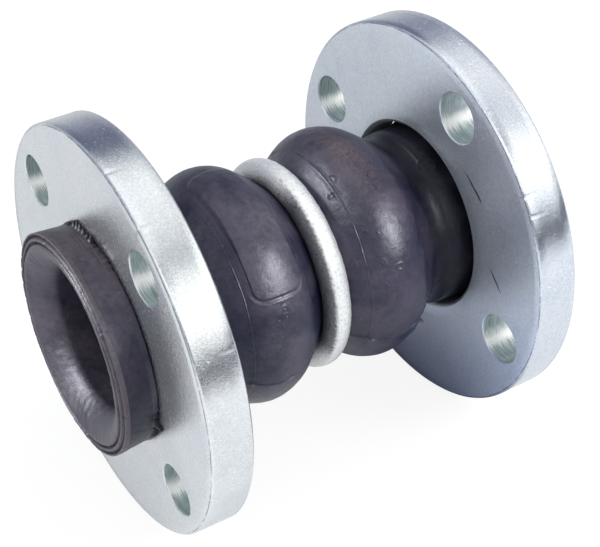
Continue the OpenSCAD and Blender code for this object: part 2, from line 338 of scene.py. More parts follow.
def angles(n, dense=()):
    """Angles round the axis in degrees: n even steps, with finer steps round the dense ones (centre, half width, step)."""
    base = list(np.arange(n) * 360.0 / n)
    for c, w, st in dense:
        base = [a for a in base if abs(turn(a, c)) > w]
        base += [float(a % 360.0) for a in np.arange(c - w, c + w + 1e-9, st)]
    out = sorted(set(round(a, 4) for a in base))
    keep = [out[0]]
    for a in out[1:]:
        if a - keep[-1] > 0.02:
            keep.append(a)
    return np.array(keep)


def lathe(name, loop, sign, thetas, mat, relief=None, attr=None, skip_first=0, body=None, sharp=32.0):
    """A closed ring solid: loop is a closed outline [(u, r)] in the rear half, sign -1 for the front half.
    relief(x, th, index) gives a displacement along the outline's normal for each outline point."""
    pts = np.array(loop, float)
    area = np.sum(pts[:, 0] * np.roll(pts[:, 1], -1) - np.roll(pts[:, 0], -1) * pts[:, 1])
    if area < 0:
        pts = pts[::-1].copy()
    before, after = np.roll(pts, 1, 0), np.roll(pts, -1, 0)
    ta, tb = pts - before, after - pts
    ta /= np.maximum(np.linalg.norm(ta, axis=1, keepdims=True), 1e-9)
    tb /= np.maximum(np.linalg.norm(tb, axis=1, keepdims=True), 1e-9)
    tan = ta + tb
    tan /= np.maximum(np.linalg.norm(tan, axis=1, keepdims=True), 1e-9)
    nrm = np.stack([tan[:, 1], -tan[:, 0]], 1)  # outward for a counter-clockwise outline
    th = np.asarray(thetas, float)
    n, m = len(pts), len(th)
    U = np.repeat(pts[:, 0:1], m, 1)
    R = np.repeat(pts[:, 1:2], m, 1)
    T = np.repeat(th[None], n, 0)
    if relief is not None:
        h = relief(U, R, T, nrm)
        U = U + nrm[:, 0:1] * h
        R = R + nrm[:, 1:2] * h
    c, s = np.cos(np.radians(T)), np.sin(np.radians(T))
    verts = np.stack([sign * U, R * c, R * s], -1).reshape(-1, 3)
    i, j = np.meshgrid(np.arange(n), np.arange(m), indexing="ij")
    a = i * m + j
    b = ((i + 1) % n) * m + j
    cc = ((i + 1) % n) * m + (j + 1) % m
    d = i * m + (j + 1) % m
    quads = np.stack([a, d, cc, b], -1).reshape(-1, 4)
    if sign < 0:
        quads = quads[:, ::-1]
    attrs = []
    if attr is not None:
        for key, fn in attr.items():
            attrs.append((key, fn(sign * U, R, T).ravel()))
    return make(name, verts, quads, mat, attrs, sharp)


# ---------------------------------------------------------------- materials
def new_material(name):
    m = bpy.data.materials.new(name)
    m.use_nodes = True
    nt = m.node_tree
    return m, nt, nt.nodes["Principled BSDF"]


def node(nt, kind, **inputs):
    n = nt.nodes.new(kind)
    for k, v in inputs.items():
        key = int(k[1:]) if k[0] == "i" and k[1:].isdigit() else k.replace("_", " ")
        if isinstance(v, bpy.types.NodeSocket):
            nt.links.new(v, n.inputs[key])
        else:
            n.inputs[key].default_value = v
    return n


def math_node(nt, op, a, b=None, c=None, clamp=False):
    n = nt.nodes.new("ShaderNodeMath")
    n.operation = op
    n.use_clamp = clamp
    for i, v in enumerate((a, b, c)):
        if v is None:
            continue
        if isinstance(v, bpy.types.NodeSocket):
            nt.links.new(v, n.inputs[i])
        else:
            n.inputs[i].default_value = v
    return n.outputs[0]


def mix_color(nt, fac, a, b, mode="MIX"):
    n = nt.nodes.new("ShaderNodeMix")
    n.data_type = "RGBA"
    n.blend_type = mode
    for sock, v in ((n.inputs[0], fac), (n.inputs[6], a), (n.inputs[7], b)):
        if isinstance(v, bpy.types.NodeSocket):
            nt.links.new(v, sock)
        else:
            sock.default_value = v if not isinstance(v, tuple) or len(v) == 4 else (*v, 1.0)
    return n.outputs[2]


def ramp(nt, value, stops):
    n = nt.nodes.new("ShaderNodeValToRGB")
    nt.links.new(value, n.inputs[0])
    el = n.color_ramp.elements
    while len(el) < len(stops):
        el.new(0.5)
    for e, (p, c) in zip(el, stops):
        e.position = p
        e.color = c if len(c) == 4 else (*c, 1.0)
    return n.outputs[0]


def noise(nt, vec, scale, detail=4.0, rough=0.55, distort=0.0):
    n = nt.nodes.new("ShaderNodeTexNoise")
    nt.links.new(vec, n.inputs["Vector"])
    n.inputs["Scale"].default_value = scale
    n.inputs["Detail"].default_value = detail
    n.inputs["Roughness"].default_value = rough
    n.inputs["Distortion"].default_value = distort
    return n.outputs["Fac"]


def rest_vector(nt):
    a = nt.nodes.new("ShaderNodeAttribute")
    a.attribute_name = "rest"
    return a.outputs["Vector"]


def mask(nt, name):
    a = nt.nodes.new("ShaderNodeAttribute")
    a.attribute_name = name
    return a.outputs["Fac"]


def bump(nt, height, strength, distance, normal=None):
    n = nt.nodes.new("ShaderNodeBump")
    nt.links.new(height, n.inputs["Height"])
    n.inputs["Strength"].default_value = strength
    n.inputs["Distance"].default_value = distance
    if normal is not None:
        nt.links.new(normal, n.inputs["Normal"])
    return n.outputs["Normal"]


def rubber_material(name, dark, dusty, rough_low, rough_high):
    """Moulded black rubber: blue-black with a faint purple bloom, fine grain, dust in the lows and brown scuffs; the
    dust mask also paints sheen where highlights fall, and a second mask paints shade.
    """
    m, nt, p = new_material(name)
    v = rest_vector(nt)
    bloom = noise(nt, v, 0.055, 5.0, 0.62, 0.6)
    mottled = noise(nt, v, 0.42, 6.0, 0.7, 0.2)
    grain = noise(nt, v, 2.6, 4.0, 0.7)
    specks = noise(nt, v, 1.35, 2.0, 0.5)
    base = mix_color(nt, ramp(nt, bloom, [(0.40, (0, 0, 0)), (0.62, (1, 1, 1))]), dark, dusty)
    tone = ramp(nt, mottled, [(0.30, (0.72, 0.72, 0.74)), (0.62, (1.12, 1.10, 1.10))])
    base = mix_color(nt, 1.0, base, tone, "MULTIPLY")
    # lightened by real dust and by painted highlights, both from the dust mask
    dust_and_sheen = math_node(nt, "MULTIPLY", mask(nt, "dust_and_sheen"), ramp(nt, mottled, [(0.32, (0.25, 0.25, 0.25)), (0.66, (1, 1, 1))]))
    base = mix_color(nt, dust_and_sheen, base, (0.110, 0.098, 0.118))
    scuffs = math_node(nt, "MULTIPLY", mask(nt, "brown"), ramp(nt, noise(nt, v, 0.9, 5.0, 0.75, 0.4), [(0.42, (0, 0, 0)), (0.62, (1, 1, 1))]))
    base = mix_color(nt, scuffs, base, (0.125, 0.078, 0.072))
    fleck = ramp(nt, specks, [(0.72, (0, 0, 0)), (0.77, (1, 1, 1))])
    base = mix_color(nt, math_node(nt, "MULTIPLY", fleck, 0.45), base, (0.30, 0.29, 0.31))
    pepper = ramp(nt, noise(nt, v, 2.2, 2.0, 0.6), [(0.60, (0, 0, 0)), (0.72, (1, 1, 1))])
    base = mix_color(nt, math_node(nt, "MULTIPLY", pepper, 0.16), base, (0.21, 0.20, 0.23))
    # painted shade: near-black where the mask marks recesses and shadowed sides, with less specular
    painted_shade = mask(nt, "painted_shade")
    base = mix_color(nt, painted_shade, base, (0.0022, 0.0024, 0.0038))
    nt.links.new(base, p.inputs["Base Color"])
    rough = ramp(nt, mottled, [(0.28, (rough_low,) * 3), (0.70, (rough_high,) * 3)])
    rough = mix_color(nt, math_node(nt, "MULTIPLY", math_node(nt, "MAXIMUM", dust_and_sheen, scuffs), 0.35), rough, (0.72, 0.72, 0.72))
    nt.links.new(rough, p.inputs["Roughness"])
    nt.links.new(math_node(nt, "MULTIPLY_ADD", painted_shade, -0.30, 0.45), p.inputs["Specular IOR Level"])
    p.inputs["Specular Tint"].default_value = (0.90, 0.91, 1.0, 1.0)
    lumps = bump(nt, mottled, 0.20, 0.0009)
    nt.links.new(bump(nt, grain, 0.16, 0.0003, lumps), p.inputs["Normal"])
    return m


def segment(nt, sep, a, b, width):
    """1 inside a thin tapering mark from a to b, both (y, z) in mm on a flange's face."""
    (ay, az), (by, bz) = a, b
    length = math.hypot(by - ay, bz - az)
    ey, ez = (by - ay) / length, (bz - az) / length
    y = math_node(nt, "SUBTRACT", sep.outputs[1], ay)
    z = math_node(nt, "SUBTRACT", sep.outputs[2], az)
    along = math_node(nt, "ADD", math_node(nt, "MULTIPLY", y, ey / length), math_node(nt, "MULTIPLY", z, ez / length))
    off = math_node(nt, "ABSOLUTE", math_node(nt, "SUBTRACT", math_node(nt, "MULTIPLY", z, ey), math_node(nt, "MULTIPLY", y, ez)))
    centred = math_node(nt, "MULTIPLY_ADD", along, 2.0, -1.0)
    taper = math_node(nt, "SUBTRACT", 1.0, math_node(nt, "MULTIPLY", centred, centred))
    return math_node(nt, "MULTIPLY", math_node(nt, "SUBTRACT", math_node(nt, "MULTIPLY", taper, width), off), 9.0, clamp=True)


def zinc_material(name, tint, rough_low, rough_high, lathe_marks=True, cast=False, metal=1.0, first=None, dark=(), pale=(), face_x=None, rim_gloss=0.52):
    """Bright zinc plating: bluish, faintly clouded, with fine turning marks, scratches and a worn sparkle."""
    m, nt, p = new_material(name)
    v = rest_vector(nt)
    cloud = noise(nt, v, 0.05, 4.0, 0.6, 0.4)
    fine = noise(nt, v, 1.1, 6.0, 0.75)
    grit = noise(nt, v, 2.3, 3.0, 0.8)
    sep = node(nt, "ShaderNodeSeparateXYZ", i0=v)
    r = math_node(nt, "SQRT", math_node(nt, "ADD", math_node(nt, "MULTIPLY", sep.outputs[1], sep.outputs[1]),
                                        math_node(nt, "MULTIPLY", sep.outputs[2], sep.outputs[2])))
    base = ramp(nt, cloud, [(0.32, tint[0]), (0.50, tint[1]), (0.68, tint[2])])
    base = mix_color(nt, 1.0, base, ramp(nt, fine, [(0.33, (0.84, 0.84, 0.85)), (0.60, (1.04, 1.04, 1.04))]), "MULTIPLY")
    # scratches: very long thin noise cells in two directions
    stretch = node(nt, "ShaderNodeMapping", i0=v)
    stretch.inputs["Rotation"].default_value = (0.6, 0.2, 0.4)
    stretch.inputs["Scale"].default_value = (0.05, 2.2, 0.12)
    s1 = noise(nt, stretch.outputs[0], 1.0, 2.0, 0.5)
    stretch2 = node(nt, "ShaderNodeMapping", i0=v)
    stretch2.inputs["Rotation"].default_value = (-0.9, 0.3, -0.7)
    stretch2.inputs["Scale"].default_value = (0.06, 0.10, 2.4)
    s2 = noise(nt, stretch2.outputs[0], 1.0, 2.0, 0.5)
    scratch = math_node(nt, "MAXIMUM", ramp(nt, s1, [(0.68, (0, 0, 0)), (0.74, (1, 1, 1))]), ramp(nt, s2, [(0.69, (0, 0, 0)), (0.75, (1, 1, 1))]))
    base = mix_color(nt, math_node(nt, "MULTIPLY", scratch, 0.12), base, (0.52, 0.54, 0.57))
    patchy = ramp(nt, noise(nt, v, 0.085, 3.0, 0.6), [(0.40, (0.25, 0.25, 0.25)), (0.60, (1, 1, 1))])
    sparkle = ramp(nt, grit, [(0.30, (0.83, 0.83, 0.84)), (0.52, (1.0, 1.0, 1.0)), (0.72, (1.12, 1.12, 1.12))])
    base = mix_color(nt, patchy, base, mix_color(nt, 1.0, base, sparkle, "MULTIPLY"))
    fleck = ramp(nt, noise(nt, v, 1.25, 3.0, 0.65), [(0.61, (0, 0, 0)), (0.67, (1, 1, 1))])
    fleck = math_node(nt, "MULTIPLY", fleck, patchy)
    base = mix_color(nt, math_node(nt, "MULTIPLY", fleck, 0.7), base, (0.97, 0.97, 0.98))
    hole = None
    if first is not None:
        fa, fb = math.cos(math.radians(first)), math.sin(math.radians(first))
        hy = math_node(nt, "ABSOLUTE", math_node(nt, "ADD", math_node(nt, "MULTIPLY", sep.outputs[1], fa), math_node(nt, "MULTIPLY", sep.outputs[2], fb)))
        hz = math_node(nt, "ABSOLUTE", math_node(nt, "SUBTRACT", math_node(nt, "MULTIPLY", sep.outputs[2], fa), math_node(nt, "MULTIPLY", sep.outputs[1], fb)))
        far = math_node(nt, "SUBTRACT", math_node(nt, "MAXIMUM", hy, hz), 60.325)
        near = math_node(nt, "MINIMUM", hy, hz)
        dist = math_node(nt, "SQRT", math_node(nt, "ADD", math_node(nt, "MULTIPLY", far, far), math_node(nt, "MULTIPLY", near, near)))
        hole = math_node(nt, "MULTIPLY", math_node(nt, "SUBTRACT", 9.72, dist), 12.0, clamp=True)
        drill_at = node(nt, "ShaderNodeCombineXYZ", i0=math_node(nt, "MULTIPLY", sep.outputs[0], 3.6), i1=math_node(nt, "MULTIPLY", sep.outputs[1], 0.10),
                        i2=math_node(nt, "MULTIPLY", sep.outputs[2], 0.10))
        drill = noise(nt, drill_at.outputs[0], 1.0, 4.0, 0.75)
        a_in = math_node(nt, "ADD", math_node(nt, "MULTIPLY", sep.outputs[1], fa), math_node(nt, "MULTIPLY", sep.outputs[2], fb))
        b_in = math_node(nt, "SUBTRACT", math_node(nt, "MULTIPLY", sep.outputs[2], fa), math_node(nt, "MULTIPLY", sep.outputs[1], fb))
        on_a = math_node(nt, "MULTIPLY", math_node(nt, "SIGN", a_in), math_node(nt, "GREATER_THAN", hy, hz))
        on_b = math_node(nt, "MULTIPLY", math_node(nt, "SIGN", b_in), math_node(nt, "GREATER_THAN", hz, hy))
        ly = math_node(nt, "SUBTRACT", sep.outputs[1], math_node(nt, "SUBTRACT", math_node(nt, "MULTIPLY", on_a, 60.325 * fa), math_node(nt, "MULTIPLY", on_b, 60.325 * fb)))
        lz = math_node(nt, "SUBTRACT", sep.outputs[2], math_node(nt, "ADD", math_node(nt, "MULTIPLY", on_a, 60.325 * fb), math_node(nt, "MULTIPLY", on_b, 60.325 * fa)))
        about_hole = math_node(nt, "ARCTAN2", lz, ly)
        # painted highlight: a white band at a fixed angle round each bolt-hole wall, over the drill-mark tones
        lit_wall = math_node(nt, "ABSOLUTE", math_node(nt, "ADD", math_node(nt, "MULTIPLY_ADD", drill, 1.5, -0.75), math_node(nt, "SUBTRACT", about_hole, math.radians(-42.0))))
        lit_wall = ramp(nt, lit_wall, [(0.14, (1, 1, 1)), (0.40, (0, 0, 0))])
        drill_tone_and_painted_highlight = mix_color(nt, lit_wall, ramp(nt, drill, [(0.36, (0.16, 0.22, 0.24)), (0.60, (0.50, 0.60, 0.60))]), (1.0, 1.0, 0.98))
        base = mix_color(nt, math_node(nt, "MULTIPLY", hole, 0.92), base, drill_tone_and_painted_highlight)
    if first is not None:
        about = math_node(nt, "ARCTAN2", sep.outputs[2], sep.outputs[1])
        along_edge = node(nt, "ShaderNodeCombineXYZ", i0=math_node(nt, "MULTIPLY", sep.outputs[1], 0.10), i1=math_node(nt, "MULTIPLY", sep.outputs[2], 0.10), i2=0.0)
        broken = ramp(nt, noise(nt, along_edge.outputs[0], 1.0, 4.0, 0.75), [(0.40, (0, 0, 0)), (0.52, (1, 1, 1))])
        # painted reflection: a broken dark line round the rim chamfer
        ring = math_node(nt, "SUBTRACT", 1.0, math_node(nt, "MULTIPLY", math_node(nt, "ABSOLUTE", math_node(nt, "SUBTRACT", r, 75.40)), 3.6), clamp=True)
        base = mix_color(nt, math_node(nt, "MULTIPLY", math_node(nt, "MULTIPLY", ring, broken), 0.90), base, (0.10, 0.10, 0.13))
        # painted shade in the upper half of the bore's mouth and on the seat cone: darker, less metallic and rougher
        # there
        mouth = math_node(nt, "MULTIPLY", math_node(nt, "SUBTRACT", 38.5, r), 4.0, clamp=True)
        upper = math_node(nt, "MULTIPLY_ADD", sep.outputs[2], 0.05, 0.5, clamp=True)
        depth = math_node(nt, "ABSOLUTE", sep.outputs[0])
        seat = math_node(nt, "MULTIPLY", math_node(nt, "LESS_THAN", r, 40.3), math_node(nt, "MULTIPLY", math_node(nt, "GREATER_THAN", depth, 59.6), math_node(nt, "LESS_THAN", depth, 73.4)))
        bore_painted_shade = math_node(nt, "MULTIPLY", math_node(nt, "MAXIMUM", math_node(nt, "MULTIPLY", mouth, upper), seat), metal - 0.02)
        base = mix_color(nt, bore_painted_shade, base, (0.010, 0.012, 0.018))
    if face_x is not None:
        on_face = math_node(nt, "LESS_THAN", math_node(nt, "ABSOLUTE", math_node(nt, "SUBTRACT", sep.outputs[0], face_x)), 0.3)
        for marks, tone, amount in ((dark, (0.05, 0.055, 0.07), 0.9), (pale, (0.93, 0.95, 0.97), 0.75)):
            got = None
            for a, b, width in marks:
                here = segment(nt, sep, a, b, width)
                got = here if got is None else math_node(nt, "MAXIMUM", got, here)
            if got is not None:
                base = mix_color(nt, math_node(nt, "MULTIPLY", math_node(nt, "MULTIPLY", got, on_face), amount), base, tone)
    if face_x is not None:
        # painted reflection on the flange face: lighter towards 160 degrees round the axis, darker and bluer towards
        # 250 degrees
        for heading, tone in ((160.0, (1.16, 1.19, 1.24)), (250.0, (0.66, 0.70, 0.84))):
            ca, sa = math.cos(math.radians(heading)) / 62.0, math.sin(math.radians(heading)) / 62.0
            lean = math_node(nt, "ADD", math_node(nt, "MULTIPLY", sep.outputs[1], ca), math_node(nt, "MULTIPLY", sep.outputs[2], sa), clamp=True)
            base = mix_color(nt, math_node(nt, "MULTIPLY", lean, on_face), base, mix_color(nt, 1.0, base, tone, "MULTIPLY"))
    # dark side and specks from the mesh's own mask: on the root ring a painted dark reflection on the side facing the
    # front arch, with random dark specks
    painted_dark_side_and_specks = mask(nt, "painted_dark_side_and_specks")
    between = math_node(nt, "MULTIPLY", painted_dark_side_and_specks, math_node(nt, "SUBTRACT", 1.0, painted_dark_side_and_specks))
    painted_dark_side_and_specks = math_node(nt, "ADD", painted_dark_side_and_specks, math_node(nt, "MULTIPLY", between, math_node(nt, "MULTIPLY_ADD", grit, 9.0, -4.5)), clamp=True)
    base = mix_color(nt, math_node(nt, "MULTIPLY", painted_dark_side_and_specks, 0.93), base, (0.13, 0.135, 0.165) if not cast else (0.040, 0.042, 0.060))
    nt.links.new(base, p.inputs["Base Color"])
    if lathe_marks and first is not None:
        on_rim = math_node(nt, "MULTIPLY", math_node(nt, "SUBTRACT", r, 75.3), 5.0, clamp=True)
        nt.links.new(math_node(nt, "SUBTRACT", math_node(nt, "MULTIPLY_ADD", on_rim, 1.0 - metal, metal), math_node(nt, "MAXIMUM", math_node(nt, "MULTIPLY", hole, 0.45),
                                                                      math_node(nt, "MAXIMUM", math_node(nt, "MULTIPLY", fleck, 0.50), bore_painted_shade))), p.inputs["Metallic"])
    else:
        p.inputs["Metallic"].default_value = metal
    rough = ramp(nt, fine, [(0.28, (rough_low,) * 3), (0.70, (rough_high,) * 3)])
    rough = mix_color(nt, math_node(nt, "MULTIPLY", scratch, 0.2), rough, (0.5, 0.5, 0.5))
    if hole is not None:
        rough = mix_color(nt, hole, rough, (0.20, 0.20, 0.20))
        rough = mix_color(nt, on_rim, rough, mix_color(nt, 1.0, rough, (rim_gloss,) * 3, "MULTIPLY"))
        rough = mix_color(nt, bore_painted_shade, rough, (0.8, 0.8, 0.8))
    nt.links.new(rough, p.inputs["Roughness"])
    n0 = None
    if lathe_marks:
        ca, sa = math.cos(math.radians(140.0)), math.sin(math.radians(140.0))
        y2 = math_node(nt, "ADD", math_node(nt, "MULTIPLY", sep.outputs[1], ca), math_node(nt, "MULTIPLY", sep.outputs[2], sa))
        z2 = math_node(nt, "SUBTRACT", math_node(nt, "MULTIPLY", sep.outputs[2], ca), math_node(nt, "MULTIPLY", sep.outputs[1], sa))
        ang = math_node(nt, "ARCTAN2", z2, y2)
        comb = node(nt, "ShaderNodeCombineXYZ", i0=math_node(nt, "MULTIPLY", r, 2.4), i1=math_node(nt, "MULTIPLY", sep.outputs[0], 2.4), i2=math_node(nt, "MULTIPLY", ang, 9.0))
        rings = noise(nt, comb.outputs[0], 1.0, 5.0, 0.7)
        n0 = bump(nt, rings, 0.13, 0.0003)
    if lathe_marks and first is not None:
        speckle = math_node(nt, "MULTIPLY", fine, math_node(nt, "MULTIPLY_ADD", math_node(nt, "MULTIPLY", on_rim, patchy), 0.85, 0.15))
        n1 = bump(nt, speckle, 0.15, 0.0004, n0)
    else:
        n1 = bump(nt, fine, 0.035 if not cast else 0.35, 0.0004 if not cast else 0.0008, n0)
    n2 = bump(nt, grit, 0.34 if not cast else 0.75, 0.00012 if not cast else 0.0002, n1)
    if hole is not None:
        n2 = bump(nt, math_node(nt, "MULTIPLY", drill, hole), 0.6, 0.00016, n2)
    nt.links.new(bump(nt, scratch, -0.06, 0.0001, n2), p.inputs["Normal"])
    return m


RUBBER = rubber_material("rubber_cover", (0.0032, 0.0050, 0.0225), (0.037, 0.0315, 0.0590), 0.29, 0.39)
TUBE = rubber_material("rubber_tube", (0.0280, 0.0240, 0.0430), (0.066, 0.0530, 0.0760), 0.33, 0.46)
# scratches on the rear flange's inner face: (y, z) of both ends and half width, in mm
MARKS_DARK = [((-29.1, 37.5), (-39.5, 29.4), 0.50), ((-35.0, 33.4), (-40.2, 28.9), 0.60), ((-47.1, 5.1), (-54.8, -2.6), 0.54)]
MARKS_PALE = [((-39.6, 30.2), (-47.5, 29.3), 0.30), ((-48.0, 11.6), (-50.7, 7.9), 0.22), ((-31.4, 50.7), (-33.8, 48.7), 0.25),
              ((-60.4, 17.8), (-61.2, 15.6), 0.3), ((-41.0, 34.5), (-46.0, 24.0), 0.16), ((-52.0, -12.0), (-58.5, -17.0), 0.15)]
TINT = ((0.70, 0.74, 0.765), (0.76, 0.785, 0.79), (0.79, 0.795, 0.81))
ZINC_FRONT = zinc_material("zinc_flange_front", TINT, 0.19, 0.29, metal=0.87, first=36.9)
TINT_REAR = ((0.66, 0.71, 0.775), (0.71, 0.75, 0.80), (0.75, 0.77, 0.81))
ZINC_REAR = zinc_material("zinc_flange_rear", TINT_REAR, 0.27, 0.37, metal=0.80, rim_gloss=0.38, first=22.2, dark=MARKS_DARK, pale=MARKS_PALE, face_x=57.7)
GALV = zinc_material("zinc_ring", ((0.88, 0.89, 0.90), (0.94, 0.95, 0.94), (0.98, 0.98, 0.95)), 0.24, 0.38, lathe_marks=False, cast=True, metal=0.62)
WIRE = zinc_material("wire_steel", ((0.28, 0.27, 0.26), (0.36, 0.35, 0.34), (0.42, 0.41, 0.40)), 0.35, 0.55, lathe_marks=False)


def ply_material():
    """Rubberised cord: parallel nylon cords on the bias, cream over dark rubber."""
    m, nt, p = new_material("cord_ply")
    v = rest_vector(nt)
    sep = node(nt, "ShaderNodeSeparateXYZ", i0=v)
    ang = math_node(nt, "ARCTAN2", sep.outputs[2], sep.outputs[1])
    lean = math_node(nt, "ADD", math_node(nt, "MULTIPLY", ang, 120.0), math_node(nt, "MULTIPLY", sep.outputs[0], 3.4))
    cord = math_node(nt, "SINE", lean)
    fac = ramp(nt, math_node(nt, "MULTIPLY_ADD", cord, 0.5, 0.5), [(0.25, (0, 0, 0)), (0.6, (1, 1, 1))])
    fuzz = noise(nt, v, 1.5, 5.0, 0.7)
    base = mix_color(nt, fac, (0.10, 0.09, 0.08), mix_color(nt, fuzz, (0.42, 0.38, 0.28), (0.66, 0.62, 0.50)))
    nt.links.new(base, p.inputs["Base Color"])
    nt.links.new(ramp(nt, fuzz, [(0.3, (0.7, 0.7, 0.7)), (0.7, (0.9, 0.9, 0.9))]), p.inputs["Roughness"])
    nt.links.new(bump(nt, fac, 0.5, 0.0004), p.inputs["Normal"])
    return m


PLY = ply_material()

# ---------------------------------------------------------------- the rubber cover, in four lengths that bend
NTH = 720
STEP = 0.36
DENSE_FRONT = [(74.0, 2.0, 0.16), (150.0, 2.2, 0.16), (198.5, 3.4, 0.2), (18.5, 3.4, 0.25)]
DENSE_REAR = [(199.0, 4.5, 0.2), (19.0, 3.5, 0.25), (207.0, 2.6, 0.25)]

# cover's outer outline beyond the neck, up to the joint with the tube on the collar
CUFF_OUT = [(57.0, 34.6), (62.0, 34.6), (66.6, 36.15), (73.2, 38.85), (73.95, 39.25), (73.95, 39.8), (74.1, 40.05), (74.35, 40.17), (74.55, 40.2), (84.7, 41.05)]
CUFF_IN = [(84.7, 33.6)] + hook(5.0, 0.0, 90.0, 12) + [(75.0, 38.6), (75.0, 36.4)] + arc(BEAD, 2.8, 90.0, 270.0, 20) + [(57.0, 30.8)]


def skin_part(u0, u1, dense):
    return refine(edge(0, u0, u1), STEP, dense)


def dust_and_sheen_mask(x, R, T):
    # real dust, with painted light and shade mixed in below
    out = 0.10 + 0.16 * np.clip(waves(x, T, 61, 20.0), -0.5, 1.5)
    shadowed = step(T, 128.0, 165.0) * (1 - step(T, 240.0, 290.0))
    # dust on the collar's outer edge, less on its shadowed side: partly painted shade
    out = out + 0.55 * bell((R - 40.8) / 0.9, 1.0) * (np.abs(x) > 74) * (1 - 0.72 * shadowed)
    # painted highlight: lighter patches on the label pad and on the rear arch's front flank, where highlights fall
    pad = (x < -15) & (x > -34)
    out = out + 0.34 * pad * bell(turn(T, 122.0) / 30.0, 1.0)
    out = out + 0.34 * bell((x - 17.0) / 5.0, 1.0) * bell(turn(T, 108.0) / 26.0, 1.0)
    return np.clip(out, 0, 1)


def brown_mask(x, R, T):
    out = 0.85 * bell((x - 22.5) / 5.0, 1.0) * bell(turn(T, 92.0) / 17.0, 1.0)
    out = out + 0.35 * bell((x - 24.0) / 8.0, 1.0) * bell(turn(T, 115.0) / 18.0, 1.0)
    out = out + 0.55 * (x < -74) * bell(turn(T, 88.0) / 22.0, 1.0) * bell((np.abs(x) - 78.0) / 4.0, 1.0)
    out = out + 0.25 * (x < -74) * bell(turn(T, 84.0) / 30.0, 1.0)
    return np.clip(out, 0, 1)


def painted_shade_mask(x, R, T):
    """Painted shade on the rubber: the valley and neck behind the rear arch, less on the front neck, the collar's back
    edge at the torn flash, and the collar's side from about 130 to 290 degrees round.
    """
    u = np.abs(x)
    out = 0.75 * step(x, 41.0, 47.0) * (x < 73.6) + 0.25 * step(-x, 44.0, 50.0) * (x > -60)
    torn = bell(turn(T, 80.0) / 32.0, 1.0) + bell(turn(T, 199.0) / 16.0, 1.0)
    out = out + 0.85 * (u > 73.9) * (1 - step(u, 74.8, 76.2)) * np.clip(torn, 0, 1)
    out = out + 0.40 * (u > 76) * step(T, 130.0, 175.0) * (1 - step(T, 240.0, 290.0))
    return np.clip(out, 0, 1)


MASKS = {"dust_and_sheen": dust_and_sheen_mask, "brown": brown_mask, "painted_shade": painted_shade_mask}


def cover_relief(sign, seed):
    def fn(U, R, T, nrm):
        outer = nrm[:, 1:2] * np.ones_like(U)
        u = np.abs(U)
        on_skin = (outer > 0.15) & (R > np.where(u > 57, 34.0, 31.0))
        on_skin &= ~((u > 57) & (R < 34.3))
        h = moulding(sign * U, T) * (on_skin & (u < 58.0)) * (1 - step(u, 55.5, 57.0))
        collar = (u > 73.9) & (R > 39.7)
        h = h + np.where(collar, collar_relief(u, T, seed), 0.0)
        return h
    return fn


def only_outer(loop_outer, loop_inner, relief):
    """Relief acts on the outer outline only: points are told apart by their place in the outline."""
    outer = {(round(p[0], 5), round(p[1], 5)) for p in loop_outer}

    def fn(U, R, T, nrm):
        keep = np.array([(round(float(a), 5), round(float(b), 5)) in outer for a, b in zip(U[:, 0], R[:, 0])])
        return relief(U, R, T, nrm) * keep[:, None]
    return fn


def cover_long(name, sign, thetas, seed):
    outer = skin_part(24.1, 57.0, (24.1, 36.3) if sign < 0 else (24.1,)) + refine(CUFF_OUT, 0.45, (74.1, 74.35))[1:]
    inner = refine(CUFF_IN, 2.0) + list(reversed(refine(edge(1, 24.1, 57.0), 1.2)))[1:]
    rel = only_outer(outer, inner, cover_relief(sign, seed))
    return lathe(name, outer + inner, sign, thetas, RUBBER, rel, MASKS)


def cover_short(name, sign, thetas, seed):
    outer = skin_part(0.0, 24.1, (24.1, 15.6) if sign < 0 else (24.1, 12.0))
    inner = list(reversed(refine(edge(1, 0.0, 24.1), 1.2)))
    rel = only_outer(outer, inner, cover_relief(sign, seed))
    return lathe(name, outer + inner, sign, thetas, RUBBER, rel, MASKS)


def span(x):
    return (x * MM, 0.0, 0.0)


FRONT_TH, REAR_TH = angles(NTH, DENSE_FRONT), angles(NTH, DENSE_REAR)
cover_a = cover_long("front_cover_outboard", -1, FRONT_TH, 70)
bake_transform(cover_a, "front_cuff", "front_arch", start=span(-58.0), end=span(-26.6))
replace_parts(cover_a, "front_cuff_cover", "front_arch_cover_neck_side", "front_arch_cover_crown")
cover_b = cover_short("front_cover_inboard", -1, FRONT_TH, 72)
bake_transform(cover_b, "front_arch", "waist", start=span(-21.6), end=span(-6.0))
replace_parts(cover_b, "front_arch_cover_waist_side", "waist_cover")
cover_c = cover_short("rear_cover_inboard", 1, REAR_TH, 74)
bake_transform(cover_c, "waist", "rear_arch", start=span(6.0), end=span(21.6))
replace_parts(cover_c, "rear_arch_cover_waist_side", "waist_cover")
cover_d = cover_long("rear_cover_outboard", 1, REAR_TH, 76)
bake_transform(cover_d, "rear_arch", "rear_cuff", start=span(26.6), end=span(58.0))
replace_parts(cover_d, "rear_cuff_cover", "rear_arch_cover_neck_side", "rear_arch_cover_crown")

# ---------------------------------------------------------------- the inner tube, in four lengths
# face: collar ridge, two more ridges on the face edge, then the flare into the bore
FACE = [(84.7, 33.6), (84.7, 41.05), (85.3, 41.14), (85.9, 41.2), (86.35, 41.17), (86.62, 41.02), (86.72, 40.78), (86.64, 40.52),
        (86.30, 40.28), (85.92, 40.10), (85.86, 39.90), (86.10, 39.66), (86.66, 39.36), (87.12, 39.02), (87.28, 38.66), (87.22, 38.32),
        (86.88, 38.04), (86.38, 37.84), (86.26, 37.62), (86.44, 37.40), (86.96, 37.10), (87.34, 36.72), (87.44, 36.30), (87.42, 35.75),
        (87.30, 35.20), (87.06, 34.6)]
FLARE = [(87.06 - 8.6 * t, 26.0 + 8.6 * (1 - t) ** 2) for t in np.linspace(0.04, 1, 36)]


